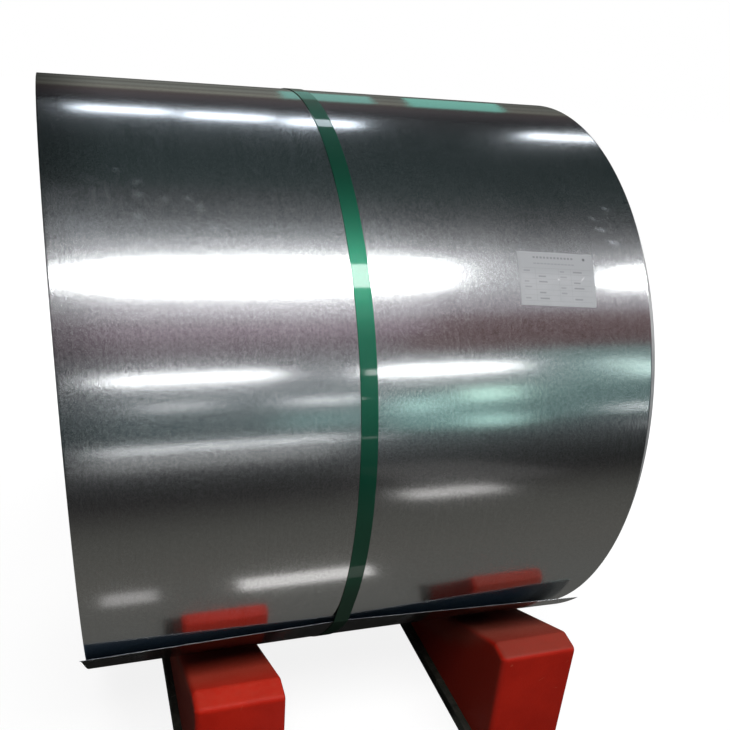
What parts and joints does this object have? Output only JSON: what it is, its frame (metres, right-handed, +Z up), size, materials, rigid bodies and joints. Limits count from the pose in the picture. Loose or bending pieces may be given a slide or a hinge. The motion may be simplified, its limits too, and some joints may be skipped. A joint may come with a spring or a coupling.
{
  "type": "steel coil",
  "caption": "Coil of bright galvanised sheet steel, strapped and labelled, lying on red sloped saddle pads on steel rails.",
  "frame": {"origin": "middle of the whole thing's footprint, on the floor under the rails", "axes": "+Z up; X along the coil's axis, with the label's end at +X; the front, with the label and the tail, faces -Y"},
  "size_m": [1.11, 1.284, 1.4045],
  "materials": {
    "steel": "bright zinc coating, fine grain round the coil",
    "strap_plastic": "glossy green plastic",
    "label_paper": "matt white paper with a ruled form",
    "pad_red": "red cast polyurethane, satin",
    "rail_paint": "dark paint, worn"
  },
  "bodies": {
    "root": {"coil": "steel", "strap": "strap_plastic", "label": "label_paper", "left_front_pad": "pad_red", "left_back_pad": "pad_red", "right_front_pad": "pad_red", "right_back_pad": "pad_red", "left_rail": "rail_paint", "right_rail": "rail_paint"}
  },
  "joints": []
}
